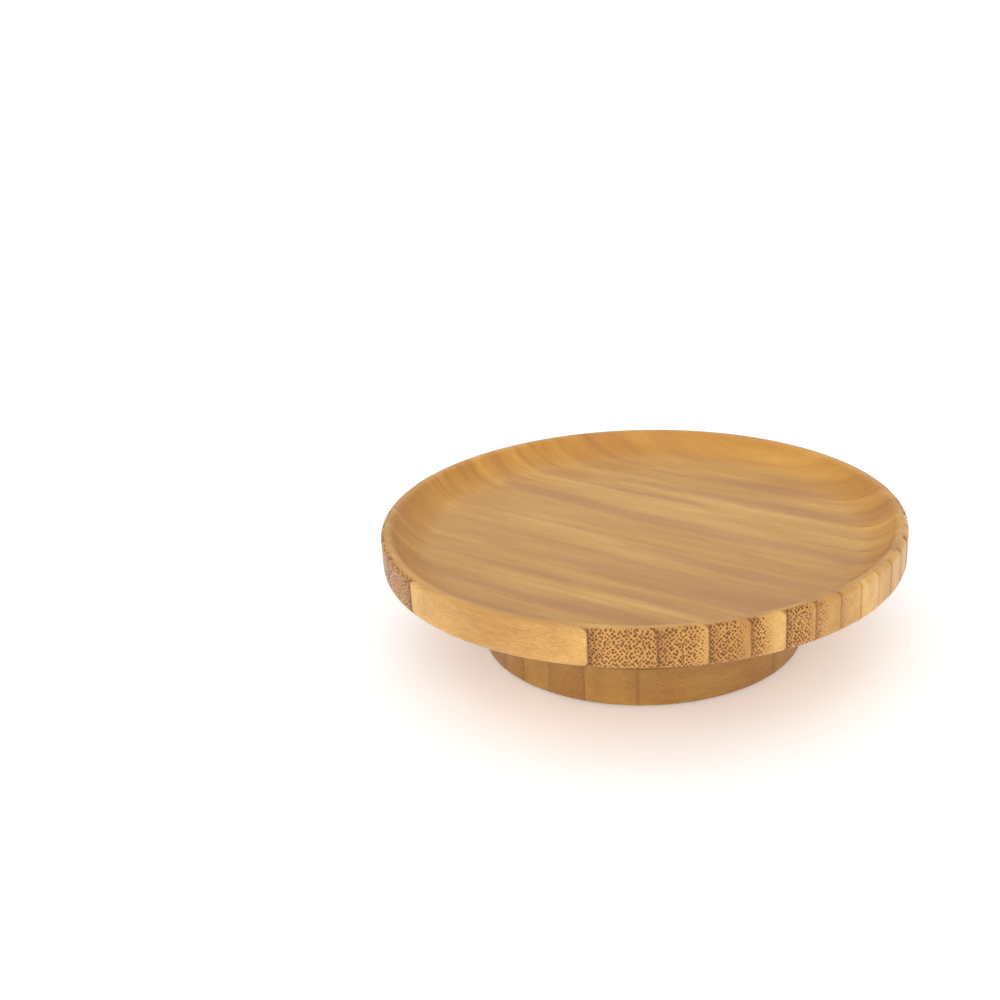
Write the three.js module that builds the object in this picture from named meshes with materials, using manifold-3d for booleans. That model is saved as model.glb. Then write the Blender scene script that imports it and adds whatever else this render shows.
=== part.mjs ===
// Small bamboo lazy susan: a dished turntable plate that spins on a ring bearing hidden in its foot.
// Millimetres, +Z up. The origin is on the table, under the middle of the foot.
import * as THREE from 'three';
import { mergeVertices } from 'three/addons/utils/BufferGeometryUtils.js';
import Module from 'manifold-3d';

const wasm = await Module();
wasm.setup();

// Bamboo stack, from the table up
const PAD_PROUD = 0.6; // how far the rubber pads hold the foot off the table
const FOOT_HEIGHT = 11.5;
const RUNNING_GAP = 0.5; // between the standing foot and the turning plate
const CONE_DROP = 15; // height of the plate's slanted underside
const RIM_HEIGHT = 10.4;
const FOOT_TOP = PAD_PROUD + FOOT_HEIGHT;
const PLATE_BOTTOM = FOOT_TOP + RUNNING_GAP;
const RIM_BOTTOM = PLATE_BOTTOM + CONE_DROP;
const PLATE_TOP = RIM_BOTTOM + RIM_HEIGHT;

// Plate
const PLATE_RADIUS = 75;
const PLATE_BOTTOM_RADIUS = 47;
const RIM_TOP_ROUND = 1.5;
const RIM_BOTTOM_ROUND = 1.8;
const LIP_WIDTH = 1.5; // from the rim's outer round to where the dish's wall would meet the top
const LIP_INNER_ROUND = 2; // softens that corner
const DISH_DEPTH = 7;
const DISH_WALL_WIDTH = 12; // the wall is one arc that runs smoothly into the flat floor
const DISH_FLOOR = PLATE_TOP - DISH_DEPTH;
const DISH_RADIUS = PLATE_RADIUS - RIM_TOP_ROUND - LIP_WIDTH;
const REGISTER_DEPTH = 0.8; // shallow recess that centres the bearing under the plate
const REGISTER_RADIUS = 26.5;

// Foot
const FOOT_RADIUS = 47;
const FOOT_EDGE_ROUND = 0.8;
const FOOT_BORE_RADIUS = 25; // the way in for the screws that hold the plate
const POCKET_RADIUS = 35.2;

// Ring bearing, 70 mm across and 8.5 mm high
const BEARING_HEIGHT = 8.5;
const BEARING_OUTER_RADIUS = 35;
const BEARING_INNER_RADIUS = 18;
const RACE_HEIGHT = 7;
const RACE_CHAMFER = 0.5;
const INNER_RACE_TOP = PLATE_BOTTOM + REGISTER_DEPTH;
const INNER_RACE_BOTTOM = INNER_RACE_TOP - RACE_HEIGHT;
const OUTER_RACE_BOTTOM = INNER_RACE_TOP - BEARING_HEIGHT;
const OUTER_RACE_TOP = OUTER_RACE_BOTTOM + RACE_HEIGHT;
const BALL_COUNT = 16;
const BALL_RADIUS = 1.75;
const BALL_PITCH_RADIUS = 27;
const BALL_HEIGHT = (INNER_RACE_BOTTOM + OUTER_RACE_TOP) / 2;
const RACE_GAP = 1.6; // between the two races' facing walls
const GROOVE_RADIUS = 1.9;

// Ball cage
const CAGE_THICKNESS = 1;
const CAGE_HEIGHT = 5;
const CAGE_POCKET_RADIUS = 1.95;

// Plug that closes the hole the balls were loaded through
const PLUG_RADIUS = 2;
const PLUG_LENGTH = 5.4;
const PLUG_ANGLE = 45;

// Screws: four of each kind, on two circles
const SCREW_COUNT = 4;
const SCREW_SINK = 0.15; // head below the surface it is sunk in
const HOLE_CLEARANCE = 0.08;
const TIP_ROOM = 0.5; // hole left free beyond a screw's tip
const SCREW_HEAD_RADIUS = 2.8;
const SCREW_HEAD_HEIGHT = 1.5;
// machine screws, from the foot's underside up into the outer ring
const OUTER_SCREW = {
  circle: 31.4,
  start: 0,
  radius: 1.5,
  length: 9,
  pitch: 0.5,
  threadDepth: 0.25,
  tip: 0.5,
};
// wood screws, from the inner ring up into the plate
const INNER_SCREW = {
  circle: 21.6,
  start: 45,
  radius: 1.4,
  length: 14,
  pitch: 1.25,
  threadDepth: 0.4,
  tip: 3,
};
const CROSS_LENGTH = 3;
const CROSS_WIDTH = 0.7;
const CROSS_DEPTH = 1;

// Rubber pads, half sunk in the foot's underside
const PAD_COUNT = 4;
const PAD_CIRCLE = 40.6;
const PAD_START = 45;
const PAD_RADIUS = 4.3;
const PAD_THICKNESS = 2;
const PAD_EDGE_ROUND = 0.4;
const PAD_SEAT_RADIUS = 4.5;

// How finely round things are cut into flats
const BIG_SEGMENTS = 80;
const RING_SEGMENTS = 64;
const SMALL_SEGMENTS = 16;
const SCREW_SEGMENTS = 12;
const BALL_SEGMENTS = 12;
const BALL_RINGS = 8;
const CUT_OVERRUN = 1; // how far a cutter reaches past the face it opens

function material(color, roughness, metalness) {
  return new THREE.MeshStandardMaterial({ color, roughness, metalness });
}

const BAMBOO = material(0xc89a5f, 0.45, 0);
const FOOT_BAMBOO = material(0xcfa66b, 0.5, 0);
const ALUMINIUM = material(0xb9bcc0, 0.35, 1);
const BALL_STEEL = material(0xd0d2d5, 0.12, 1);
const SCREW_STEEL = material(0xc9cacb, 0.3, 1);
const NYLON = material(0xe9e6da, 0.6, 0);
const RUBBER = material(0x2b2b2d, 0.9, 0);

const group = new THREE.Group();
group.name = 'lazy_susan_turntable';

function addPiece(name, geometry, look) {
  const mesh = new THREE.Mesh(geometry, look);
  mesh.name = name;
  group.add(mesh);
  return mesh;
}

// Turn a closed outline of [radius, height] points about the vertical axis.
function turned(outline, segments) {
  const points = outline.map(([radius, height]) => new THREE.Vector2(radius, height));
  return new THREE.LatheGeometry(points, segments);
}

// Points on a quarter turn (or less) of a circle, both ends included, angles in degrees.
function arc(centreRadius, centreHeight, radius, fromAngle, toAngle, steps) {
  const points = [];
  for (let i = 0; i <= steps; i += 1) {
    const angle = THREE.MathUtils.degToRad(fromAngle + ((toAngle - fromAngle) * i) / steps);
    points.push([centreRadius + radius * Math.cos(angle), centreHeight + radius * Math.sin(angle)]);
  }
  return points;
}

function toSolid(geometry) {
  const bare = geometry.clone();
  bare.deleteAttribute('normal');
  bare.deleteAttribute('uv');
  const welded = mergeVertices(bare, 1e-4);
  const mesh = new wasm.Mesh({
    numProp: 3,
    vertProperties: new Float32Array(welded.attributes.position.array),
    triVerts: new Uint32Array(welded.index.array),
  });
  return new wasm.Manifold(mesh);
}

function toGeometry(solid) {
  const mesh = solid.getMesh();
  const geometry = new THREE.BufferGeometry();
  geometry.setAttribute('position', new THREE.BufferAttribute(new Float32Array(mesh.vertProperties), 3));
  geometry.setIndex(new THREE.BufferAttribute(new Uint32Array(mesh.triVerts), 1));
  geometry.computeVertexNormals();
  return geometry;
}

function subtractAll(geometry, cutters) {
  let solid = toSolid(geometry);
  for (const cutter of cutters) {
    solid = solid.subtract(toSolid(cutter));
  }
  return toGeometry(solid);
}

// Copies of a geometry made about the axis, moved out to a circle.
function aroundCircle(geometry, count, circleRadius, startAngle) {
  const copies = [];
  for (let i = 0; i < count; i += 1) {
    const angle = THREE.MathUtils.degToRad(startAngle + (360 * i) / count);
    const x = circleRadius * Math.cos(angle);
    const y = circleRadius * Math.sin(angle);
    copies.push(geometry.clone().translate(x, y, 0));
  }
  return copies;
}

// LatheGeometry turns about Y, so its shapes are tipped upright.
function upright(geometry) {
  return geometry.rotateX(Math.PI / 2);
}

// An upright cylinder between two heights.
function verticalCutter(radius, fromHeight, toHeight) {
  const height = toHeight - fromHeight;
  const cylinder = new THREE.CylinderGeometry(radius, radius, height, SMALL_SEGMENTS);
  return upright(cylinder).translate(0, 0, (fromHeight + toHeight) / 2);
}

// The hole a countersunk screw leaves: head cone, then clearance for the shank.
function screwHoleCutter(screw, seatHeight) {
  const head = SCREW_HEAD_RADIUS + HOLE_CLEARANCE;
  const shank = screw.radius + HOLE_CLEARANCE;
  const coneTop = seatHeight + SCREW_SINK + SCREW_HEAD_HEIGHT;
  const holeTop = seatHeight + screw.length + TIP_ROOM;
  const outline = [
    [0, seatHeight - CUT_OVERRUN],
    [head, seatHeight - CUT_OVERRUN],
    [head, seatHeight + SCREW_SINK],
    [shank, coneTop],
    [shank, holeTop],
    [0, holeTop],
  ];
  return upright(turned(outline, SMALL_SEGMENTS));
}

function makePlate() {
  const wallRadius = (DISH_WALL_WIDTH ** 2 + DISH_DEPTH ** 2) / (2 * DISH_DEPTH);
  const wallCentreRadius = DISH_RADIUS - DISH_WALL_WIDTH;
  const wallCentreHeight = DISH_FLOOR + wallRadius;
  // centre of the round that touches both the wall's arc and the flat top, seen from the wall's centre
  const lipCentreHeight = PLATE_TOP - LIP_INNER_ROUND;
  const roundDrop = wallCentreHeight - lipCentreHeight;
  const roundReach = Math.sqrt((wallRadius + LIP_INNER_ROUND) ** 2 - roundDrop ** 2);
  const wallStart = THREE.MathUtils.radToDeg(Math.atan2(-roundDrop, roundReach));
  const coneAngle = THREE.MathUtils.radToDeg(Math.atan2(CONE_DROP, PLATE_RADIUS - PLATE_BOTTOM_RADIUS));
  // centre of the round that touches both the cone and the upright rim
  const halfTurn = THREE.MathUtils.degToRad((90 - coneAngle) / 2);
  const roundCentre = RIM_BOTTOM + RIM_BOTTOM_ROUND * Math.tan(halfTurn);
  const outline = [
    [0, INNER_RACE_TOP],
    [REGISTER_RADIUS, INNER_RACE_TOP],
    [REGISTER_RADIUS, PLATE_BOTTOM],
    [PLATE_BOTTOM_RADIUS, PLATE_BOTTOM],
    ...arc(PLATE_RADIUS - RIM_BOTTOM_ROUND, roundCentre, RIM_BOTTOM_ROUND, coneAngle - 90, 0, 4),
    ...arc(PLATE_RADIUS - RIM_TOP_ROUND, PLATE_TOP - RIM_TOP_ROUND, RIM_TOP_ROUND, 0, 90, 4),
    ...arc(wallCentreRadius + roundReach, lipCentreHeight, LIP_INNER_ROUND, 90, 180 + wallStart, 4),
    ...arc(wallCentreRadius, wallCentreHeight, wallRadius, wallStart, -90, 8).slice(1),
    [0, DISH_FLOOR],
  ];
  const blank = upright(turned(outline, BIG_SEGMENTS));
  const pilot = verticalCutter(
    INNER_SCREW.radius + HOLE_CLEARANCE,
    INNER_RACE_TOP - CUT_OVERRUN,
    INNER_RACE_BOTTOM + INNER_SCREW.length + TIP_ROOM,
  );
  return subtractAll(blank, aroundCircle(pilot, SCREW_COUNT, INNER_SCREW.circle, INNER_SCREW.start));
}

function makeFootRing() {
  const outline = [
    [FOOT_BORE_RADIUS, PAD_PROUD],
    ...arc(FOOT_RADIUS - FOOT_EDGE_ROUND, PAD_PROUD + FOOT_EDGE_ROUND, FOOT_EDGE_ROUND, -90, 0, 3),
    ...arc(FOOT_RADIUS - FOOT_EDGE_ROUND, FOOT_TOP - FOOT_EDGE_ROUND, FOOT_EDGE_ROUND, 0, 90, 3),
    [POCKET_RADIUS, FOOT_TOP],
    [POCKET_RADIUS, OUTER_RACE_BOTTOM],
    [FOOT_BORE_RADIUS, OUTER_RACE_BOTTOM],
    [FOOT_BORE_RADIUS, PAD_PROUD],
  ];
  const blank = upright(turned(outline, BIG_SEGMENTS));
  const screwHole = screwHoleCutter(OUTER_SCREW, PAD_PROUD);
  const padSeat = verticalCutter(PAD_SEAT_RADIUS, PAD_PROUD - CUT_OVERRUN, PAD_THICKNESS);
  return subtractAll(blank, [
    ...aroundCircle(screwHole, SCREW_COUNT, OUTER_SCREW.circle, OUTER_SCREW.start),
    ...aroundCircle(padSeat, PAD_COUNT, PAD_CIRCLE, PAD_START),
  ]);
}

// Half angle of the ball groove where it meets the race's wall, in degrees.
function grooveHalfAngle() {
  return THREE.MathUtils.radToDeg(Math.acos(RACE_GAP / 2 / GROOVE_RADIUS));
}

function makeOuterRing() {
  const half = grooveHalfAngle();
  const wall = BALL_PITCH_RADIUS + RACE_GAP / 2;
  const outline = [
    [wall, OUTER_RACE_BOTTOM],
    [BEARING_OUTER_RADIUS - RACE_CHAMFER, OUTER_RACE_BOTTOM],
    [BEARING_OUTER_RADIUS, OUTER_RACE_BOTTOM + RACE_CHAMFER],
    [BEARING_OUTER_RADIUS, OUTER_RACE_TOP - RACE_CHAMFER],
    [BEARING_OUTER_RADIUS - RACE_CHAMFER, OUTER_RACE_TOP],
    [wall, OUTER_RACE_TOP],
    ...arc(BALL_PITCH_RADIUS, BALL_HEIGHT, GROOVE_RADIUS, half, -half, 6),
    [wall, OUTER_RACE_BOTTOM],
  ];
  const ring = upright(turned(outline, RING_SEGMENTS));
  const tapped = verticalCutter(
    OUTER_SCREW.radius + HOLE_CLEARANCE,
    OUTER_RACE_BOTTOM - CUT_OVERRUN,
    OUTER_RACE_TOP + CUT_OVERRUN,
  );
  const fillHoleRadius = PLUG_RADIUS + HOLE_CLEARANCE;
  const fillHole = radialCylinder(fillHoleRadius, BALL_PITCH_RADIUS, BEARING_OUTER_RADIUS + CUT_OVERRUN);
  const screwHoles = aroundCircle(tapped, SCREW_COUNT, OUTER_SCREW.circle, OUTER_SCREW.start);
  return subtractAll(ring, [...screwHoles, fillHole]);
}

function makeInnerRing() {
  const half = grooveHalfAngle();
  const wall = BALL_PITCH_RADIUS - RACE_GAP / 2;
  const outline = [
    [BEARING_INNER_RADIUS, INNER_RACE_BOTTOM + RACE_CHAMFER],
    [BEARING_INNER_RADIUS + RACE_CHAMFER, INNER_RACE_BOTTOM],
    [wall, INNER_RACE_BOTTOM],
    ...arc(BALL_PITCH_RADIUS, BALL_HEIGHT, GROOVE_RADIUS, 180 + half, 180 - half, 6),
    [wall, INNER_RACE_TOP],
    [BEARING_INNER_RADIUS + RACE_CHAMFER, INNER_RACE_TOP],
    [BEARING_INNER_RADIUS, INNER_RACE_TOP - RACE_CHAMFER],
    [BEARING_INNER_RADIUS, INNER_RACE_BOTTOM + RACE_CHAMFER],
  ];
  const ring = upright(turned(outline, RING_SEGMENTS));
  const screwHole = screwHoleCutter(INNER_SCREW, INNER_RACE_BOTTOM);
  return subtractAll(ring, aroundCircle(screwHole, SCREW_COUNT, INNER_SCREW.circle, INNER_SCREW.start));
}

// A cylinder lying along a radius at the balls' height, turned to the plug's angle.
function radialCylinder(radius, fromRadius, toRadius) {
  const length = toRadius - fromRadius;
  const cylinder = new THREE.CylinderGeometry(radius, radius, length, SMALL_SEGMENTS);
  cylinder.rotateZ(-Math.PI / 2);
  cylinder.translate((fromRadius + toRadius) / 2, 0, BALL_HEIGHT);
  return cylinder.rotateZ(THREE.MathUtils.degToRad(PLUG_ANGLE));
}

function makeBallCage() {
  const inner = BALL_PITCH_RADIUS - CAGE_THICKNESS / 2;
  const outer = BALL_PITCH_RADIUS + CAGE_THICKNESS / 2;
  const bottom = BALL_HEIGHT - CAGE_HEIGHT / 2;
  const top = BALL_HEIGHT + CAGE_HEIGHT / 2;
  const outline = [
    [inner, bottom],
    [outer, bottom],
    [outer, top],
    [inner, top],
    [inner, bottom],
  ];
  const strip = upright(turned(outline, RING_SEGMENTS));
  const pocketLength = CAGE_THICKNESS + 2 * CUT_OVERRUN;
  const pocket = new THREE.CylinderGeometry(
    CAGE_POCKET_RADIUS,
    CAGE_POCKET_RADIUS,
    pocketLength,
    SMALL_SEGMENTS,
  );
  pocket.rotateZ(Math.PI / 2).translate(BALL_PITCH_RADIUS, 0, BALL_HEIGHT);
  const pockets = [];
  for (let i = 0; i < BALL_COUNT; i += 1) {
    pockets.push(pocket.clone().rotateZ((2 * Math.PI * i) / BALL_COUNT));
  }
  return subtractAll(strip, pockets);
}

// A countersunk cross-recess screw standing on its head, the head's face at height 0. The thread is a row of
// ridges, one pitch apart, which shrink towards the tip.
function makeScrew(screw) {
  const end = screw.length - SCREW_SINK;
  const outline = [
    [0, 0],
    [SCREW_HEAD_RADIUS, 0],
    [screw.radius, SCREW_HEAD_HEIGHT],
  ];
  for (let root = SCREW_HEAD_HEIGHT + screw.pitch; root < end - screw.pitch / 2; root += screw.pitch) {
    const taper = Math.min(1, (end - root) / screw.tip);
    outline.push([(screw.radius - screw.threadDepth) * taper, root]);
    outline.push([screw.radius * taper, root + screw.pitch / 2]);
  }
  outline.push([0, end]);
  const body = upright(turned(outline, SCREW_SEGMENTS));
  const slot = new THREE.BoxGeometry(CROSS_LENGTH, CROSS_WIDTH, 2 * CROSS_DEPTH);
  return subtractAll(body, [slot, slot.clone().rotateZ(Math.PI / 2)]);
}

function makePad() {
  const outline = [
    [0, 0],
    ...arc(PAD_RADIUS - PAD_EDGE_ROUND, PAD_EDGE_ROUND, PAD_EDGE_ROUND, -90, 0, 2),
    [PAD_RADIUS, PAD_THICKNESS],
    [0, PAD_THICKNESS],
  ];
  return upright(turned(outline, SMALL_SEGMENTS));
}

// Stand one copy of a geometry at each place on a circle, each its own named piece.
function addCircleOfPieces(prefix, geometry, look, count, circleRadius, startAngle, height) {
  for (let i = 0; i < count; i += 1) {
    const angle = THREE.MathUtils.degToRad(startAngle + (360 * i) / count);
    const number = String(i + 1).padStart(String(count).length, '0');
    const piece = addPiece(`${prefix}_${number}`, geometry, look);
    piece.position.set(circleRadius * Math.cos(angle), circleRadius * Math.sin(angle), height);
    piece.rotation.z = angle;
  }
}

addPiece('plate', makePlate(), BAMBOO);
addPiece('foot_ring', makeFootRing(), FOOT_BAMBOO);
addPiece('bearing_outer_ring', makeOuterRing(), ALUMINIUM);
addPiece('bearing_inner_ring', makeInnerRing(), ALUMINIUM);
addPiece('ball_cage', makeBallCage(), NYLON);

const plugEnd = BEARING_OUTER_RADIUS - RACE_CHAMFER;
addPiece('ball_fill_plug', radialCylinder(PLUG_RADIUS, plugEnd - PLUG_LENGTH, plugEnd), SCREW_STEEL);

const ball = new THREE.SphereGeometry(BALL_RADIUS, BALL_SEGMENTS, BALL_RINGS);
addCircleOfPieces('bearing_ball', ball, BALL_STEEL, BALL_COUNT, BALL_PITCH_RADIUS, 0, BALL_HEIGHT);

addCircleOfPieces(
  'outer_ring_screw', makeScrew(OUTER_SCREW), SCREW_STEEL,
  SCREW_COUNT, OUTER_SCREW.circle, OUTER_SCREW.start, PAD_PROUD + SCREW_SINK,
);
addCircleOfPieces(
  'inner_ring_screw', makeScrew(INNER_SCREW), SCREW_STEEL,
  SCREW_COUNT, INNER_SCREW.circle, INNER_SCREW.start, INNER_RACE_BOTTOM + SCREW_SINK,
);
addCircleOfPieces('rubber_pad', makePad(), RUBBER, PAD_COUNT, PAD_CIRCLE, PAD_START, 0);

export default group;
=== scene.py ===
"""Looks for a small bamboo lazy susan: glued bamboo strips, a ring bearing, screws and rubber pads."""

import math
import random
from types import SimpleNamespace

import bmesh
import bpy
from mathutils import Matrix, Vector


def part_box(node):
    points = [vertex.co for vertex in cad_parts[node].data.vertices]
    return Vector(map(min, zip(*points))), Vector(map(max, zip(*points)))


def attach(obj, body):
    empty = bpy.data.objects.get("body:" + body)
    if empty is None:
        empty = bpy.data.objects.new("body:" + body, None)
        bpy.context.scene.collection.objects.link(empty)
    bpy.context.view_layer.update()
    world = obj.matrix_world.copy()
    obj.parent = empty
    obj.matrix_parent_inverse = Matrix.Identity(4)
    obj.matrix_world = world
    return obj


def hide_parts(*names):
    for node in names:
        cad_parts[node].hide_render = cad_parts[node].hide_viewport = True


MM = 0.001

# Bamboo shapes that the frame's boxes don't give
RIM_HEIGHT = 10.4 * MM
RIM_TOP_ROUND = 1.5 * MM
RIM_BOTTOM_ROUND = 1.8 * MM
LIP_WIDTH = 1.5 * MM
LIP_INNER_ROUND = 2 * MM
DISH_DEPTH = 7 * MM
DISH_WALL_WIDTH = 12 * MM
REGISTER_DEPTH = 0.8 * MM
REGISTER_RADIUS = 26.5 * MM
PILOT_RADIUS = 1.48 * MM
FOOT_EDGE_ROUND = 0.8 * MM
FOOT_BORE_RADIUS = 25 * MM
POCKET_RADIUS = 35.2 * MM
PAD_SEAT_RADIUS = 4.5 * MM

# Laminated strips: which way the grain runs, where the first glue line is, and how far apart they are
PLATE_GRAIN = math.radians(-32)
PLATE_FIRST_GLUE_LINE = -69.6 * MM
PLATE_STRIP = 7.95 * MM
FOOT_GRAIN = math.radians(24)
FOOT_FIRST_GLUE_LINE = -42.5 * MM
FOOT_STRIP = 8.3 * MM

# Bearing
RACE_GAP = 1.6 * MM
GROOVE_RADIUS = 1.9 * MM
RACE_CHAMFER = 0.5 * MM
BEARING_BORE_RADIUS = 18 * MM
FILL_HOLE_LENGTH = 9 * MM
CAGE_POCKET_RADIUS = 1.95 * MM
CAGE_POCKET_LENGTH = 4 * MM

# Screws
SCREW_HEAD_RADIUS = 2.8 * MM
SCREW_HEAD_HEIGHT = 1.5 * MM
MACHINE_SCREW_RADIUS = 1.5 * MM
MACHINE_SCREW_TIP = 0.4 * MM
MACHINE_THREAD_PITCH = 0.5 * MM
WOOD_SCREW_RADIUS = 1.4 * MM
WOOD_SCREW_TIP = 3 * MM
WOOD_THREAD_PITCH = 1.25 * MM
CROSS_LENGTH = 3 * MM
CROSS_WIDTH = 0.7 * MM
CROSS_DEPTH = 1 * MM
HOLE_CLEARANCE = 0.08 * MM

# Camera: where it stands, the point it looks at, its tilt and its lens
CAMERA_PLACE = Vector((0, -358.2, 183.4)) * MM
CAMERA_TARGET = Vector((-40.3, 0, 42.4)) * MM
CAMERA_ROLL = math.radians(-3.6)
CAMERA_LENS = 47.7
SENSOR_WIDTH = 36

BIG_STEPS = 288
RING_STEPS = 160
SMALL_STEPS = 40

# Faces that meet at more than this angle keep a sharp edge
CREASE = math.radians(33)

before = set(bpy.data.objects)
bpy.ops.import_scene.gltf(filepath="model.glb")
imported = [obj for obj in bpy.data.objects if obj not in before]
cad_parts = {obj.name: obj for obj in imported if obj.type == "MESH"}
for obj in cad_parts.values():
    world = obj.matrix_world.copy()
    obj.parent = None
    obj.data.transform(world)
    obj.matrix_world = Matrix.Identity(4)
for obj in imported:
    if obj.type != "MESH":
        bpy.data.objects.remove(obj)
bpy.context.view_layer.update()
dice = random.Random(7)


# ---------------------------------------------------------------- node trees


def linear(red, green, blue):
    """An 8-bit display colour as the linear colour that shaders use."""
    channels = [c / 255 for c in (red, green, blue)]
    return tuple(c / 12.92 if c <= 0.04045 else ((c + 0.055) / 1.055) ** 2.4 for c in channels) + (1.0,)


class Nodes:
    """A material's node tree, built node by node. An argument is a number, a tuple or a node's output."""

    def __init__(self, name):
        self.material = bpy.data.materials.new(name)
        self.material.use_nodes = True
        self.tree = self.material.node_tree
        self.shader = self.tree.nodes["Principled BSDF"]

    def feed(self, socket, value):
        if isinstance(value, bpy.types.NodeSocket):
            self.tree.links.new(value, socket)
        else:
            socket.default_value = value

    def node(self, kind, settings=None, **inputs):
        made = self.tree.nodes.new("ShaderNode" + kind)
        for key, value in (settings or {}).items():
            setattr(made, key, value)
        for key, value in inputs.items():
            self.feed(made.inputs[key.replace("_", " ")], value)
        return made

    def math(self, operation, a, b=0.0, clamp=False):
        made = self.node("Math", {"operation": operation, "use_clamp": clamp})
        self.feed(made.inputs[0], a)
        self.feed(made.inputs[1], b)
        return made.outputs[0]

    def add(self, a, b):
        return self.math("ADD", a, b)

    def subtract(self, a, b):
        return self.math("SUBTRACT", a, b)

    def multiply(self, a, b):
        return self.math("MULTIPLY", a, b)

    def vector_math(self, operation, a, b=None, output="Vector"):
        made = self.node("VectorMath", {"operation": operation})
        self.feed(made.inputs[0], a)
        if b is not None:
            self.feed(made.inputs[1], b)
        return made.outputs[output]

    def split(self, vector):
        return self.node("SeparateXYZ", Vector=vector).outputs[:]

    def vector(self, x=0.0, y=0.0, z=0.0):
        return self.node("CombineXYZ", X=x, Y=y, Z=z).outputs[0]

    def ramp_between(self, value, low, high, at_low=0.0, at_high=1.0):
        """Smoothly from at_low, where value is low, to at_high, where it is high."""
        made = self.node(
            "MapRange",
            {"interpolation_type": "SMOOTHSTEP"},
            Value=value,
            From_Min=low,
            From_Max=high,
            To_Min=at_low,
            To_Max=at_high,
        )
        return made.outputs[0]

    def noise(self, vector, scale=1.0, detail=2.0, roughness=0.5):
        made = self.node("TexNoise", Vector=vector, Scale=scale, Detail=detail, Roughness=roughness)
        return made.outputs["Fac"]

    def mix(self, factor, a, b, blend="MIX"):
        made = self.node("Mix", {"data_type": "RGBA", "blend_type": blend})
        self.feed(made.inputs[0], factor)
        self.feed(made.inputs[6], a)
        self.feed(made.inputs[7], b)
        return made.outputs[2]

    def colours(self, factor, *stops):
        """A colour ramp through (place, colour) stops."""
        made = self.node("ValToRGB", Fac=factor)
        ramp = made.color_ramp
        while len(ramp.elements) < len(stops):
            ramp.elements.new(0.5)
        for element, (place, colour) in zip(ramp.elements, stops):
            element.position = place
            element.color = colour
        return made.outputs[0]

    def bump(self, height, strength, distance):
        made = self.node("Bump", Strength=strength, Distance=distance, Height=height)
        self.feed(self.shader.inputs["Normal"], made.outputs[0])

    def own(self, name):
        """A number that each piece carries as a property of its own."""
        made = self.node("Attribute", {"attribute_type": "OBJECT", "attribute_name": name})
        return made.outputs["Fac"]

    def set(self, **inputs):
        for key, value in inputs.items():
            self.feed(self.shader.inputs[key.replace("_", " ")], value)


# ---------------------------------------------------------------- materials


def bamboo_coordinates(n, grain):
    """Where a point is in its strip, in millimetres, and which way its surface faces."""
    place = n.node("TexCoord")
    mapped = n.node(
        "Mapping",
        Vector=place.outputs["Object"],
        Rotation=(0, 0, -grain),
        Scale=(1 / MM, 1 / MM, 1 / MM),
    )
    facing = n.node(
        "VectorRotate",
        {"rotation_type": "Z_AXIS"},
        Vector=place.outputs["Normal"],
        Angle=-grain,
    )
    along, across, height = n.split(mapped.outputs[0])
    facing_along, _, facing_up = n.split(facing.outputs[0])
    outward = n.vector_math("NORMALIZE", n.vector(along, across))
    facing_out = n.vector_math("DOT_PRODUCT", facing.outputs[0], outward, "Value")
    width = n.own("strip_width")
    from_skin = n.subtract(across, n.own("strip_start"))
    return SimpleNamespace(
        along=along,
        across=across,
        height=height,
        seed=n.own("strip_seed"),
        share=n.math("DIVIDE", from_skin, width),
        from_skin=from_skin,
        from_pith=n.subtract(width, from_skin),
        end_grain=n.math("ABSOLUTE", facing_along),
        inward=n.ramp_between(facing_out, 0.0, -0.08),
        dish_wall=n.ramp_between(facing_out, -0.05, -0.5),
        level=n.ramp_between(facing_up, 0.3, 0.7),
    )


def bamboo_pores(n, at, crowding, radius):
    """Sawn-off fibre bundles: staggered dark dots round a turned piece of the given radius in mm."""
    girth = n.multiply(n.math("ARCTAN2", at.across, at.along), radius)
    wander = n.noise(n.vector(girth, at.height, at.seed), 0.5, 2.0)
    girth = n.add(girth, n.multiply(wander, 1.6))
    rows = n.multiply(at.height, 0.85)
    bundles = n.node(
        "TexVoronoi",
        {"voronoi_dimensions": "2D", "feature": "F1"},
        Vector=n.vector(n.add(girth, rows), n.subtract(girth, rows)),
        Scale=0.88,
        Randomness=0.5,
    )
    size_change = n.split(bundles.outputs["Color"])[0]
    size = n.add(n.multiply(crowding, 0.42), n.multiply(n.subtract(size_change, 0.9), 0.14))
    dots = n.ramp_between(n.subtract(bundles.outputs["Distance"], size), 0.07, -0.12)
    strength = n.multiply(n.own("strip_pores"), n.ramp_between(at.end_grain, 0.1, 0.34))
    return n.multiply(n.multiply(dots, strength), n.subtract(1.0, at.inward))


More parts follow.
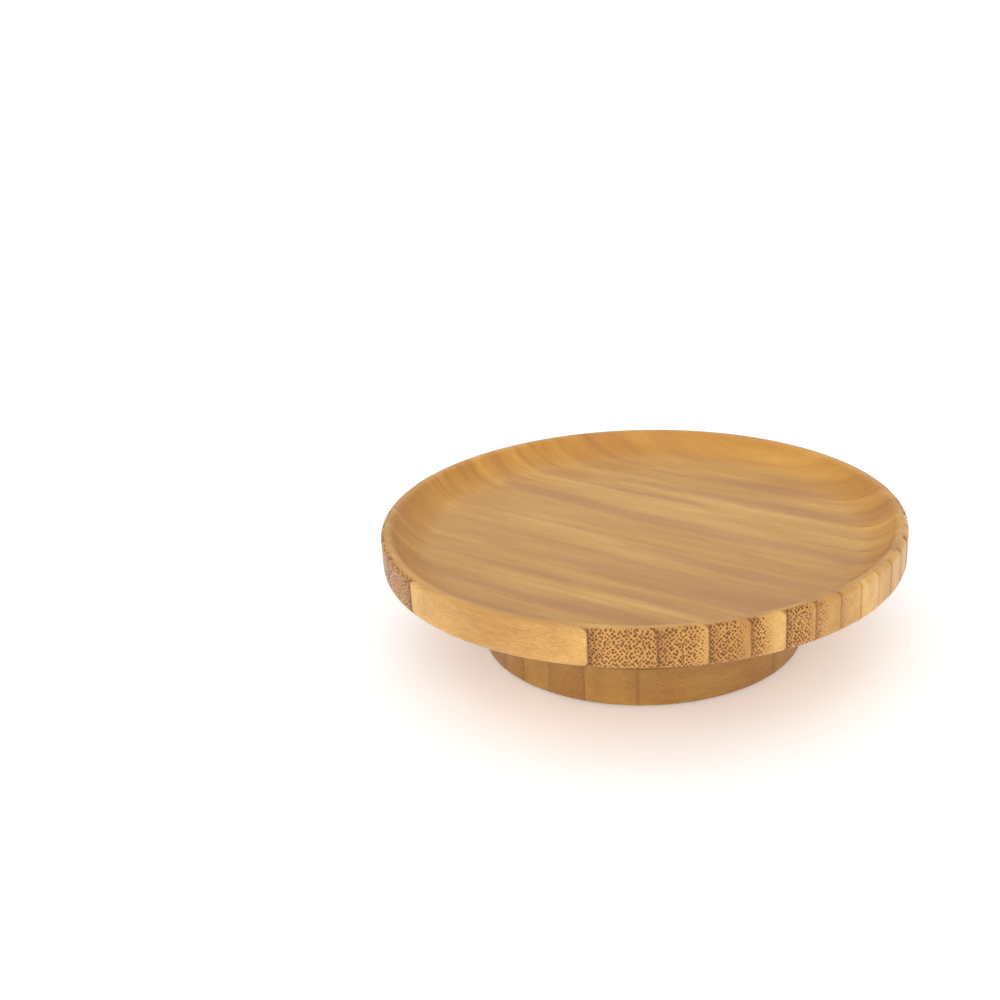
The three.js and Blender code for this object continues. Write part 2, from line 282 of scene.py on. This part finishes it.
def bamboo_material(name, grain, radius, colour_stops):
    """Solid laminated bamboo: its fibre bundles are dark dots on end grain and long streaks elsewhere."""
    n = Nodes(name)
    at = bamboo_coordinates(n, grain)
    reach = n.own("strip_reach")
    crowding = n.ramp_between(at.share, reach, n.subtract(reach, 0.7))
    pores = bamboo_pores(n, at, crowding, radius)
    end_grain = n.ramp_between(at.end_grain, 0.08, 0.36)
    end_grain = n.multiply(end_grain, n.subtract(1.0, n.multiply(at.dish_wall, 0.85)))

    # Streaks along the grain, from single fibres to clouds that cross the glue lines
    own_across = n.add(at.across, n.multiply(at.seed, 3.0))
    fine = n.noise(n.vector(n.multiply(at.along, 0.1), own_across, at.height), 2.4, 3.0, 0.65)
    streaks = n.noise(n.vector(n.multiply(at.along, 0.02), own_across, at.height), 0.36, 3.0, 0.55)
    cloud_place = n.vector(n.multiply(at.along, 0.16), at.across, n.multiply(at.height, 0.4))
    clouds = n.noise(cloud_place, 0.14, 3.0, 0.55)
    stain = n.noise(n.vector(n.multiply(at.along, 0.1), at.across, 7.0), 0.13, 3.0, 0.5)

    strip_contrast = n.add(0.4, n.multiply(end_grain, 0.6))
    tone = n.add(0.5, n.multiply(n.subtract(n.own("strip_tone"), 0.5), strip_contrast))
    tone = n.add(tone, n.multiply(n.subtract(streaks, 0.5), n.subtract(0.5, n.multiply(at.dish_wall, 0.25))))
    tone = n.add(tone, n.multiply(n.subtract(fine, 0.5), n.subtract(1.0, n.multiply(at.level, 0.75))))
    tone = n.add(tone, n.multiply(n.subtract(clouds, 0.5), 0.9))
    crowded_end = n.multiply(n.multiply(crowding, end_grain), n.own("strip_pores"))
    tone = n.math("SUBTRACT", tone, n.multiply(crowded_end, 0.08), clamp=True)
    colour = n.colours(tone, *colour_stops)
    colour = n.mix(n.multiply(crowded_end, 0.5), colour, linear(192, 132, 62))
    near_skin = n.multiply(crowded_end, n.ramp_between(at.from_skin, 2.2, 0.2, 0.0, 0.4))
    colour = n.mix(near_skin, colour, linear(128, 78, 34))

    stained = n.multiply(n.ramp_between(stain, 0.48, 0.66), n.subtract(1.0, end_grain))
    colour = n.mix(n.multiply(stained, 0.5), colour, linear(176, 120, 80))
    # Painted shade: the inward-facing dish wall is multiplied to a deeper orange, standing in for the warm
    # bounced light and missing sheen inside the hollow
    colour = n.mix(n.multiply(at.dish_wall, 0.8), colour, linear(250, 236, 184), "MULTIPLY")

    # Glue lines, darkest along the culm's outer skin and on end grain
    skin_line = n.ramp_between(at.from_skin, 0.6, 0.08, 0.0, 0.62)
    pith_line = n.ramp_between(at.from_pith, 0.22, 0.03, 0.0, 0.4)
    plainness = n.add(0.08, n.multiply(end_grain, n.add(0.3, n.multiply(n.own("strip_pores"), 0.6))))
    glue = n.multiply(n.math("MAXIMUM", skin_line, pith_line), plainness)
    colour = n.mix(glue, colour, linear(122, 74, 32))
    colour = n.mix(n.multiply(pores, 0.86), colour, linear(98, 50, 12))

    roughness = n.add(0.42, n.multiply(n.subtract(streaks, 0.5), 0.22))
    roughness = n.add(roughness, n.multiply(pores, 0.25))
    relief = n.add(n.multiply(fine, 0.04), n.multiply(streaks, 0.04))
    relief = n.subtract(relief, n.multiply(pores, 0.1))
    relief = n.subtract(relief, n.multiply(glue, 0.16))
    n.set(
        Base_Color=colour,
        Roughness=roughness,
        Coat_Weight=0.1,
        Coat_Roughness=0.3,
        Specular_IOR_Level=0.35,
    )
    n.bump(relief, 0.8, 1 * MM)
    return n.material


PLATE_TONES = (
    (0.0, linear(164, 112, 55)),
    (0.35, linear(188, 137, 72)),
    (0.65, linear(207, 157, 86)),
    (1.0, linear(228, 185, 112)),
)
# The foot's colour is partly its own browner bamboo tone and partly painted shade: darkened below the
# plate's tones to stand in for the shade under the plate's overhang
FOOT_TONES_WITH_PAINTED_SHADE = (
    (0.0, linear(142, 96, 43)),
    (0.4, linear(161, 115, 54)),
    (0.7, linear(175, 130, 64)),
    (1.0, linear(192, 148, 80)),
)


def turned_aluminium():
    """Fine rings left by the lathe tool, with a soft grey bloom."""
    n = Nodes("turned_aluminium")
    place = n.node("TexCoord").outputs["Object"]
    x, y, z = n.split(place)
    radius = n.math("SQRT", n.add(n.multiply(x, x), n.multiply(y, y)))
    rings = n.noise(n.vector(n.multiply(radius, 1 / MM), n.multiply(z, 1 / MM)), 5.0, 3.0, 0.6)
    bloom = n.noise(place, 160.0, 3.0)
    shade = n.add(n.multiply(rings, 0.7), n.multiply(bloom, 0.3))
    n.set(
        Base_Color=n.colours(shade, (0.35, linear(190, 192, 196)), (0.65, linear(212, 214, 217))),
        Metallic=1.0,
        Roughness=n.add(0.22, n.multiply(rings, 0.24)),
    )
    n.bump(rings, 0.5, 0.08 * MM)
    return n.material


def polished_steel():
    n = Nodes("polished_steel")
    smear = n.noise(n.node("TexCoord").outputs["Object"], 900.0, 3.0)
    n.set(
        Base_Color=n.colours(smear, (0.3, linear(206, 208, 211)), (0.7, linear(226, 228, 230))),
        Metallic=1.0,
        Roughness=n.add(0.06, n.multiply(smear, 0.14)),
    )
    n.bump(smear, 0.1, 0.02 * MM)
    return n.material


def zinc_plate():
    n = Nodes("zinc_plate")
    blotch = n.noise(n.node("TexCoord").outputs["Object"], 1400.0, 4.0, 0.6)
    n.set(
        Base_Color=n.colours(
            blotch,
            (0.25, linear(176, 180, 186)),
            (0.55, linear(206, 208, 209)),
            (0.8, linear(216, 214, 202)),
        ),
        Metallic=1.0,
        Roughness=n.add(0.2, n.multiply(blotch, 0.25)),
    )
    n.bump(blotch, 0.2, 0.03 * MM)
    return n.material


def moulded_nylon():
    n = Nodes("moulded_nylon")
    cloud = n.noise(n.node("TexCoord").outputs["Object"], 700.0, 3.0)
    n.set(
        Base_Color=n.colours(cloud, (0.3, linear(226, 222, 208)), (0.7, linear(238, 235, 224))),
        Roughness=n.add(0.45, n.multiply(cloud, 0.2)),
        Subsurface_Weight=0.12,
        Subsurface_Radius=(0.6 * MM, 0.5 * MM, 0.4 * MM),
    )
    n.bump(cloud, 0.2, 0.03 * MM)
    return n.material


def pad_rubber():
    n = Nodes("pad_rubber")
    place = n.node("TexCoord").outputs["Object"]
    grain = n.noise(place, 3200.0, 3.0, 0.7)
    dust = n.noise(place, 500.0, 3.0)
    n.set(
        Base_Color=n.colours(dust, (0.3, linear(34, 34, 36)), (0.75, linear(62, 61, 60))),
        Roughness=n.add(0.7, n.multiply(grain, 0.25)),
    )
    n.bump(grain, 0.5, 0.06 * MM)
    return n.material


# ---------------------------------------------------------------- shapes


def arc(centre_radius, centre_height, radius, from_angle, to_angle, steps):
    """Points on a circle in the (radius, height) half plane, both ends included, angles in radians."""
    points = []
    for i in range(steps + 1):
        angle = from_angle + (to_angle - from_angle) * i / steps
        points.append((centre_radius + radius * math.cos(angle), centre_height + radius * math.sin(angle)))
    return points


def turned(name, outline, steps, centre=(0, 0, 0)):
    """Turn a closed outline of (radius, height) points about a vertical axis."""
    bm = bmesh.new()
    rings = []
    for radius, height in outline:
        if radius < 1e-7:
            rings.append([bm.verts.new((0, 0, height))])
            continue
        ring = []
        for i in range(steps):
            angle = 2 * math.pi * i / steps
            ring.append(bm.verts.new((radius * math.cos(angle), radius * math.sin(angle), height)))
        rings.append(ring)
    for ring, following in zip(rings, rings[1:] + rings[:1]):
        if len(ring) == 1 and len(following) == 1:
            continue
        for i in range(steps):
            j = (i + 1) % steps
            corners = [ring[i % len(ring)], ring[j % len(ring)]]
            corners += [following[j % len(following)], following[i % len(following)]]
            bm.faces.new(list(dict.fromkeys(corners)))
    bmesh.ops.recalc_face_normals(bm, faces=bm.faces)
    bmesh.ops.translate(bm, verts=bm.verts, vec=centre)
    return as_object(name, bm)


def as_object(name, bm):
    mesh = bpy.data.meshes.new(name)
    bm.to_mesh(mesh)
    bm.free()
    made = bpy.data.objects.new(name, mesh)
    bpy.context.scene.collection.objects.link(made)
    return made


def smooth(piece):
    """Smooth shading, with sharp edges kept where faces meet at more than the crease angle."""
    piece.data.shade_smooth()
    piece.data.set_sharp_from_angle(angle=CREASE)
    return piece


def carve(piece, cutter, overlapping=False):
    """Cut one object's solid out of another's, and remove the cutter, whose own parts may be overlapping."""
    cut = piece.modifiers.new("cut", "BOOLEAN")
    cut.operation = "DIFFERENCE"
    cut.solver = "EXACT"
    cut.use_self = overlapping
    cut.object = cutter
    shape = piece.evaluated_get(bpy.context.evaluated_depsgraph_get())
    mesh = bpy.data.meshes.new_from_object(shape)
    piece.modifiers.clear()
    piece.data = mesh
    bpy.data.objects.remove(cutter)
    return piece


def cylinders(name, radius, length, places, steps=SMALL_STEPS):
    """Cutting cylinders about Z, one at each matrix in places, in one object."""
    bm = bmesh.new()
    for place in places:
        bmesh.ops.create_cone(
            bm,
            cap_ends=True,
            segments=steps,
            radius1=radius,
            radius2=radius,
            depth=length,
            matrix=place,
        )
    return as_object(name, bm)


def middle(node):
    low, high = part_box(node)
    return (low + high) / 2


def upright_places(nodes, height):
    """A matrix at each node's place in plan, at one height."""
    return [Matrix.Translation((middle(node).x, middle(node).y, height)) for node in nodes]


def finish_piece(piece, material, body, slot, *nodes):
    """Give a piece its looks, its body and the CAD nodes it stands for."""
    piece.data.materials.clear()
    piece.data.materials.append(material)
    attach(piece, body)
    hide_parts(*nodes)


def named(prefix, count):
    digits = len(str(count))
    return [f"{prefix}_{i + 1:0{digits}d}" for i in range(count)]


BALLS = named("bearing_ball", 16)
OUTER_SCREWS = named("outer_ring_screw", 4)
INNER_SCREWS = named("inner_ring_screw", 4)
PADS = named("rubber_pad", 4)


# ---------------------------------------------------------------- bamboo strips


def strip_edges(first, pitch, radius):
    """Places of the glue lines across a round blank, with the blank's own two edges at the ends."""
    edges = [-radius]
    line = first
    while line < radius - 0.25 * pitch:
        edges.append(line)
        line += pitch
    edges.append(radius)
    return edges


def cut_strip(name, blank, grain, low, high):
    """The part of a blank between two glue planes, closed where it was cut."""
    across = Vector((-math.sin(grain), math.cos(grain), 0))
    bm = bmesh.new()
    bm.from_mesh(blank.data)
    for edge in bm.edges:
        edge.smooth = edge.smooth and not (edge.is_manifold and edge.calc_face_angle(0) > CREASE)
    for place, way in ((low, across), (high, -across)):
        geometry = bm.verts[:] + bm.edges[:] + bm.faces[:]
        made = bmesh.ops.bisect_plane(
            bm, geom=geometry, plane_co=across * place, plane_no=way, clear_inner=True, dist=1e-7
        )
        cut_edges = [g for g in made["geom_cut"] if isinstance(g, bmesh.types.BMEdge)]
        bmesh.ops.holes_fill(bm, edges=cut_edges, sides=0)
        for edge in cut_edges:
            edge.smooth = False
    return as_object(name, bm)


def swell_along_grain(strip, grain, share):
    """Glued strips never end quite flush: stretch this one by a small share of its length."""
    back = Matrix.Rotation(grain, 4, "Z")
    strip.data.transform(back @ Matrix.Diagonal((1 + share, 1, 1, 1)) @ back.inverted())


def bamboo_strips(prefix, blank, grain, edges, kinds, material, body, slot, node):
    """Saw a turned blank into its glued strips, each with its own tone and fibres."""
    blank.data.shade_smooth()
    names = named(prefix, len(edges) - 1)
    for i, name in enumerate(names):
        tone, pores, reach, proud = kinds[i % len(kinds)]
        strip = cut_strip(name, blank, grain, edges[i], edges[i + 1])
        swell_along_grain(strip, grain, proud * MM / edges[-1])
        strip["strip_start"] = edges[i] / MM
        strip["strip_width"] = (edges[i + 1] - edges[i]) / MM
        strip["strip_tone"] = tone
        strip["strip_pores"] = pores
        strip["strip_reach"] = reach
        strip["strip_seed"] = dice.uniform(0, 90)
        finish_piece(strip, material, body, slot, node)
    bpy.data.objects.remove(blank)


def plate_blank():
    low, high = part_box("plate")
    radius = high.x
    foot_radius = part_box("foot_ring")[1].x
    rim_bottom = high.z - RIM_HEIGHT
    cone_angle = math.atan2(rim_bottom - low.z, radius - foot_radius)
    round_centre = rim_bottom + RIM_BOTTOM_ROUND * math.tan((math.pi / 2 - cone_angle) / 2)
    wall_radius = (DISH_WALL_WIDTH**2 + DISH_DEPTH**2) / (2 * DISH_DEPTH)
    wall_centre = (radius - RIM_TOP_ROUND - LIP_WIDTH - DISH_WALL_WIDTH, high.z - DISH_DEPTH + wall_radius)
    lip_centre_height = high.z - LIP_INNER_ROUND
    round_drop = wall_centre[1] - lip_centre_height
    round_reach = math.sqrt((wall_radius + LIP_INNER_ROUND) ** 2 - round_drop**2)
    wall_start = math.atan2(-round_drop, round_reach)
    quarter = math.pi / 2
    lip_centre = wall_centre[0] + round_reach
    lip_end = math.pi + wall_start
    outline = [
        (0, low.z + REGISTER_DEPTH),
        (REGISTER_RADIUS, low.z + REGISTER_DEPTH),
        (REGISTER_RADIUS, low.z),
        (foot_radius, low.z),
        *arc(radius - RIM_BOTTOM_ROUND, round_centre, RIM_BOTTOM_ROUND, cone_angle - quarter, 0, 8),
        *arc(radius - RIM_TOP_ROUND, high.z - RIM_TOP_ROUND, RIM_TOP_ROUND, 0, quarter, 10),
        *arc(lip_centre, lip_centre_height, LIP_INNER_ROUND, quarter, lip_end, 8),
        *arc(*wall_centre, wall_radius, wall_start, -quarter, 24)[1:],
        (0, high.z - DISH_DEPTH),
    ]
    blank = turned("plate_blank", outline, BIG_STEPS)
    screw_low, screw_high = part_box(INNER_SCREWS[0])
    length = screw_high.z - screw_low.z + 1 * MM
    holes = upright_places(INNER_SCREWS, (screw_low.z + screw_high.z) / 2)
    return carve(blank, cylinders("pilot_holes", PILOT_RADIUS, length, holes))


def foot_blank():
    low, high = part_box("foot_ring")
    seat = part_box("bearing_outer_ring")[0].z
    quarter = math.pi / 2
    outline = [
        (FOOT_BORE_RADIUS, low.z),
        *arc(high.x - FOOT_EDGE_ROUND, low.z + FOOT_EDGE_ROUND, FOOT_EDGE_ROUND, -quarter, 0, 6),
        *arc(high.x - FOOT_EDGE_ROUND, high.z - FOOT_EDGE_ROUND, FOOT_EDGE_ROUND, 0, quarter, 6),
        (POCKET_RADIUS, high.z),
        (POCKET_RADIUS, seat),
        (FOOT_BORE_RADIUS, seat),
    ]
    blank = turned("foot_blank", outline, BIG_STEPS)
    pad_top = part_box(PADS[0])[1].z
    pad_seats = cylinders("pad_seats", PAD_SEAT_RADIUS, 2 * pad_top, upright_places(PADS, 0))
    carve(blank, pad_seats)
    screw_low, screw_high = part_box(OUTER_SCREWS[0])
    head = (screw_high.x - screw_low.x) / 2 + HOLE_CLEARANCE
    shank = MACHINE_SCREW_RADIUS + HOLE_CLEARANCE
    hole = [
        (0, -2 * MM),
        (head, -2 * MM),
        (head, screw_low.z),
        (shank, screw_low.z + SCREW_HEAD_HEIGHT),
        (shank, seat + 2 * MM),
        (0, seat + 2 * MM),
    ]
    for node in OUTER_SCREWS:
        centre = middle(node)
        carve(blank, turned("screw_hole", hole, SMALL_STEPS, (centre.x, centre.y, 0)))
    return blank


# Each strip's tone, how plain its pores are, how far across it they crowd, and how proud it stands in mm
PLATE_STRIPS = (
    (0.62, 0.12, 0.5, 0.0),
    (0.56, 1.0, 1.8, 0.04),
    (0.58, 1.0, 1.3, 0.0),
    (0.42, 1.0, 1.2, 0.05),
    (0.62, 0.95, 0.85, 0.02),
    (0.5, 1.0, 1.3, -0.03),
    (0.45, 0.65, 0.8, 0.03),
    (0.52, 0.45, 0.6, 0.0),
    (0.72, 0.25, 0.3, 0.14),
    (0.6, 0.3, 0.5, 0.0),
    (0.66, 0.4, 0.6, 0.04),
    (0.74, 0.5, 0.7, 0.0),
    (0.8, 0.8, 1.0, 0.03),
    (0.86, 0.6, 0.6, -0.02),
    (0.66, 0.9, 1.2, 0.0),
    (0.62, 0.7, 0.8, 0.04),
    (0.5, 0.9, 1.0, 0.0),
    (0.62, 0.7, 0.8, 0.02),
    (0.7, 0.3, 0.5, 0.0),
)
FOOT_STRIPS = (
    (0.5, 0.3, 1.0, 0.0),
    (0.6, 0.2, 0.7, 0.03),
    (0.42, 0.3, 1.1, 0.0),
    (0.66, 0.15, 0.5, 0.02),
    (0.52, 0.3, 0.9, 0.0),
)


def make_bamboo():
    plate_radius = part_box("plate")[1].x
    bamboo_strips(
        "plate_strip",
        plate_blank(),
        PLATE_GRAIN,
        strip_edges(PLATE_FIRST_GLUE_LINE, PLATE_STRIP, plate_radius),
        PLATE_STRIPS,
        bamboo_material("plate_bamboo", PLATE_GRAIN, plate_radius / MM, PLATE_TONES),
        "turntable",
        "plate_bamboo",
        "plate",
    )
    foot_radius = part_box("foot_ring")[1].x
    bamboo_strips(
        "foot_strip",
        foot_blank(),
        FOOT_GRAIN,
        strip_edges(FOOT_FIRST_GLUE_LINE, FOOT_STRIP, foot_radius),
        FOOT_STRIPS,
        bamboo_material("foot_bamboo", FOOT_GRAIN, foot_radius / MM, FOOT_TONES_WITH_PAINTED_SHADE),
        "base",
        "foot_bamboo",
        "foot_ring",
    )


# ---------------------------------------------------------------- bearing


def make_rings(material):
    ball = middle(BALLS[0])
    pitch_radius = math.hypot(ball.x, ball.y)
    half = math.acos(RACE_GAP / 2 / GROOVE_RADIUS)

    low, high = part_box("bearing_outer_ring")
    wall = pitch_radius + RACE_GAP / 2
    outline = [
        (wall, low.z),
        (high.x - RACE_CHAMFER, low.z),
        (high.x, low.z + RACE_CHAMFER),
        (high.x, high.z - RACE_CHAMFER),
        (high.x - RACE_CHAMFER, high.z),
        (wall, high.z),
        *arc(pitch_radius, ball.z, GROOVE_RADIUS, half, -half, 14),
    ]
    outer = turned("outer_race", outline, RING_STEPS)
    height = (low.z + high.z) / 2
    screw_radius = MACHINE_SCREW_RADIUS + HOLE_CLEARANCE
    taps = cylinders("taps", screw_radius, 2 * (high.z - low.z), upright_places(OUTER_SCREWS, height))
    carve(outer, taps)
    plug = middle("ball_fill_plug")
    plug_radius = (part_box("ball_fill_plug")[1].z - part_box("ball_fill_plug")[0].z) / 2
    lying = Matrix.Rotation(math.pi / 2, 4, Vector((-plug.y, plug.x, 0)))
    plug_place = Matrix.Translation(plug) @ lying
    carve(outer, cylinders("fill_hole", plug_radius + HOLE_CLEARANCE, FILL_HOLE_LENGTH, [plug_place]))
    finish_piece(smooth(outer), material, "base", "race_aluminium", "bearing_outer_ring")

    low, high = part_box("bearing_inner_ring")
    wall = pitch_radius - RACE_GAP / 2
    bore = BEARING_BORE_RADIUS
    outline = [
        (bore, low.z + RACE_CHAMFER),
        (bore + RACE_CHAMFER, low.z),
        (wall, low.z),
        *arc(pitch_radius, ball.z, GROOVE_RADIUS, math.pi + half, math.pi - half, 14),
        (wall, high.z),
        (bore + RACE_CHAMFER, high.z),
        (bore, high.z - RACE_CHAMFER),
    ]
    inner = turned("inner_race", outline, RING_STEPS)
    screw_low, screw_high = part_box(INNER_SCREWS[0])
    head = SCREW_HEAD_RADIUS + HOLE_CLEARANCE
    shank = WOOD_SCREW_RADIUS + HOLE_CLEARANCE
    hole = [
        (0, low.z - 1 * MM),
        (head, low.z - 1 * MM),
        (head, screw_low.z),
        (shank, screw_low.z + SCREW_HEAD_HEIGHT),
        (shank, screw_high.z),
        (0, screw_high.z),
    ]
    for node in INNER_SCREWS:
        centre = middle(node)
        carve(inner, turned("screw_hole", hole, SMALL_STEPS, (centre.x, centre.y, 0)))
    finish_piece(smooth(inner), material, "turntable", "race_aluminium", "bearing_inner_ring")


def make_cage(material):
    low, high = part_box("ball_cage")
    ball = middle(BALLS[0])
    pitch_radius = math.hypot(ball.x, ball.y)
    inner = 2 * pitch_radius - high.x
    soft = 0.15 * MM
    quarter = math.pi / 2
    outline = [
        *arc(high.x - soft, low.z + soft, soft, -quarter, 0, 3),
        *arc(high.x - soft, high.z - soft, soft, 0, quarter, 3),
        *arc(inner + soft, high.z - soft, soft, quarter, 2 * quarter, 3),
        *arc(inner + soft, low.z + soft, soft, 2 * quarter, 3 * quarter, 3),
    ]
    cage = turned("cage", outline, RING_STEPS)
    places = []
    for node in BALLS:
        centre = middle(node)
        lying = Matrix.Rotation(math.pi / 2, 4, Vector((-centre.y, centre.x, 0)))
        places.append(Matrix.Translation(centre) @ lying)
    carve(cage, cylinders("pockets", CAGE_POCKET_RADIUS, CAGE_POCKET_LENGTH, places, 28))
    finish_piece(smooth(cage), material, "ball_train", "cage_nylon", "ball_cage")


def make_balls(material):
    for node in BALLS:
        low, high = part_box(node)
        radius = (high.z - low.z) / 2
        outline = arc(0, 0, radius, -math.pi / 2, math.pi / 2, 16)
        ball = turned("steel_" + node.removeprefix("bearing_"), outline, 32, middle(node))
        finish_piece(smooth(ball), material, "ball_train", "ball_steel", node)


def make_plug(material):
    low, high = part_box("ball_fill_plug")
    centre = (low + high) / 2
    radius = (high.z - low.z) / 2
    length = math.hypot(high.x - low.x, high.y - low.y) - 2 * radius
    edge = 0.25 * MM
    outline = [
        (0, -length / 2),
        (radius - edge, -length / 2),
        (radius, -length / 2 + edge),
        (radius, length / 2 - edge),
        (radius - edge, length / 2),
        (0.5 * radius, length / 2),
        (0.4 * radius, length / 2 - edge),
        (0, length / 2 - edge),
    ]
    plug = turned("fill_plug", outline, SMALL_STEPS)
    outward = Vector((centre.x, centre.y, 0)).to_track_quat("Z", "Y").to_matrix().to_4x4()
    plug.data.transform(Matrix.Translation(centre) @ outward)
    finish_piece(smooth(plug), material, "base", "screw_steel", "ball_fill_plug")


# ---------------------------------------------------------------- screws and pads


def screw_outline(length, head_radius, shank_radius, pitch, tip):
    """Countersunk head at height 0, then thread ridges up to a tapered tip."""
    depth = 0.32 * pitch
    outline = [
        (0, 0),
        (head_radius - 0.1 * MM, 0),
        (head_radius, 0.08 * MM),
        (shank_radius, SCREW_HEAD_HEIGHT),
    ]
    height = SCREW_HEAD_HEIGHT + 0.5 * pitch
    while height < length - 0.5 * pitch:
        taper = min(1.0, (length - height) / tip)
        outline.append(((shank_radius - depth) * taper, height))
        outline.append((shank_radius * taper, height + 0.35 * pitch))
        outline.append((shank_radius * taper, height + 0.45 * pitch))
        outline.append(((shank_radius - depth) * taper, height + 0.8 * pitch))
        height += pitch
    outline.append((0.15 * shank_radius, length))
    outline.append((0, length))
    return outline


def make_screws(nodes, prefix, shank_radius, pitch, tip, material, body):
    for node in nodes:
        low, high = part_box(node)
        head_radius = (high.x - low.x) / 2
        outline = screw_outline(high.z - low.z, head_radius, shank_radius, pitch, tip)
        screw = turned(prefix + node[-2:], outline, SMALL_STEPS)
        turn = dice.uniform(0, math.pi / 2)
        bm = bmesh.new()
        for quarter in (0, math.pi / 2):
            size = Matrix.Diagonal((CROSS_LENGTH, CROSS_WIDTH, 2 * CROSS_DEPTH, 1))
            spin = Matrix.Rotation(turn + quarter, 4, "Z")
            bmesh.ops.create_cube(bm, size=1, matrix=spin @ size)
        for vert in bm.verts:
            if vert.co.z > 0:
                vert.co.x *= 0.55
                vert.co.y *= 0.55
        cross = as_object("cross", bm)
        carve(screw, cross, overlapping=True)
        centre = middle(node)
        screw.data.transform(Matrix.Translation((centre.x, centre.y, low.z)))
        finish_piece(smooth(screw), material, body, "screw_steel", node)


def make_pads(material):
    for node in PADS:
        low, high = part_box(node)
        radius = (high.x - low.x) / 2
        edge = 0.5 * MM
        quarter = math.pi / 2
        outline = [
            (0, low.z + 0.08 * MM),
            (radius - 1.3 * MM, low.z + 0.08 * MM),
            (radius - 1.1 * MM, low.z),
            *arc(radius - edge, low.z + edge, edge, -quarter, 0, 6),
            (radius, high.z),
            (0, high.z),
        ]
        centre = middle(node)
        pad = turned("pad" + node[-2:], outline, SMALL_STEPS, (centre.x, centre.y, 0))
        finish_piece(smooth(pad), material, "base", "pad_rubber", node)


# ---------------------------------------------------------------- stage


def make_floor():
    bm = bmesh.new()
    bmesh.ops.create_circle(bm, cap_ends=True, segments=96, radius=30)
    floor = as_object("floor", bm)
    n = Nodes("floor")
    paper = n.noise(n.node("TexCoord").outputs["Object"], 40.0, 2.0)
    n.set(
        Base_Color=n.colours(paper, (0.3, linear(248, 248, 248)), (0.7, linear(250, 250, 250))),
        Roughness=0.9,
        Specular_IOR_Level=0.1,
        Emission_Color=(1, 1, 1, 1),
        Emission_Strength=0.24,
    )
    floor.data.materials.append(n.material)


def add_sun(name, strength, softness, azimuth, elevation):
    """A soft light from far away. Azimuth 0 stands at -Y, behind the camera, and 90 at +X."""
    light = bpy.data.lights.new(name, "SUN")
    light.energy = strength
    light.angle = softness
    made = bpy.data.objects.new(name, light)
    bpy.context.scene.collection.objects.link(made)
    flat = math.cos(elevation)
    source = Vector((math.sin(azimuth) * flat, -math.cos(azimuth) * flat, math.sin(elevation)))
    made.rotation_euler = source.to_track_quat("Z", "Y").to_euler()


def make_lights():
    """Even studio light, a little stronger close to the horizon, with two very soft lamps."""
    world = bpy.data.worlds.new("studio")
    world.use_nodes = True
    tree = world.node_tree
    direction = tree.nodes.new("ShaderNodeTexCoord").outputs["Generated"]
    split = tree.nodes.new("ShaderNodeSeparateXYZ")
    tree.links.new(direction, split.inputs[0])
    fade = tree.nodes.new("ShaderNodeMapRange")
    tree.links.new(split.outputs["Z"], fade.inputs["Value"])
    for socket, value in (("From Min", 0.05), ("From Max", 0.2), ("To Min", 1.02), ("To Max", 0.64)):
        fade.inputs[socket].default_value = value
    tree.links.new(fade.outputs[0], tree.nodes["Background"].inputs["Strength"])
    tree.nodes["Background"].inputs["Color"].default_value = (1, 1, 1, 1)
    scene = bpy.context.scene
    scene.world = world
    scene.view_settings.view_transform = "Standard"
    add_sun(
        "overhead",
        strength=0.5,
        softness=math.radians(80),
        azimuth=math.radians(190),
        elevation=math.radians(72),
    )
    add_sun(
        "front_fill",
        strength=1.4,
        softness=math.radians(80),
        azimuth=math.radians(-8),
        elevation=math.radians(27),
    )


def make_camera():
    data = bpy.data.cameras.new("camera")
    data.lens = CAMERA_LENS
    data.sensor_width = SENSOR_WIDTH
    data.clip_start = 0.01
    data.clip_end = 100
    camera = bpy.data.objects.new("camera", data)
    bpy.context.scene.collection.objects.link(camera)
    aim = (CAMERA_TARGET - CAMERA_PLACE).to_track_quat("-Z", "Y").to_matrix().to_4x4()
    camera.matrix_world = Matrix.Translation(CAMERA_PLACE) @ aim @ Matrix.Rotation(CAMERA_ROLL, 4, "Z")
    bpy.context.scene.camera = camera


make_camera()
make_floor()
make_lights()
make_bamboo()
make_rings(turned_aluminium())
make_cage(moulded_nylon())
make_balls(polished_steel())
ZINC = zinc_plate()
make_plug(ZINC)
make_screws(
    OUTER_SCREWS,
    "machine_screw",
    MACHINE_SCREW_RADIUS,
    MACHINE_THREAD_PITCH,
    MACHINE_SCREW_TIP,
    ZINC,
    "base",
)
make_screws(
    INNER_SCREWS,
    "wood_screw",
    WOOD_SCREW_RADIUS,
    WOOD_THREAD_PITCH,
    WOOD_SCREW_TIP,
    ZINC,
    "turntable",
)
make_pads(pad_rubber())
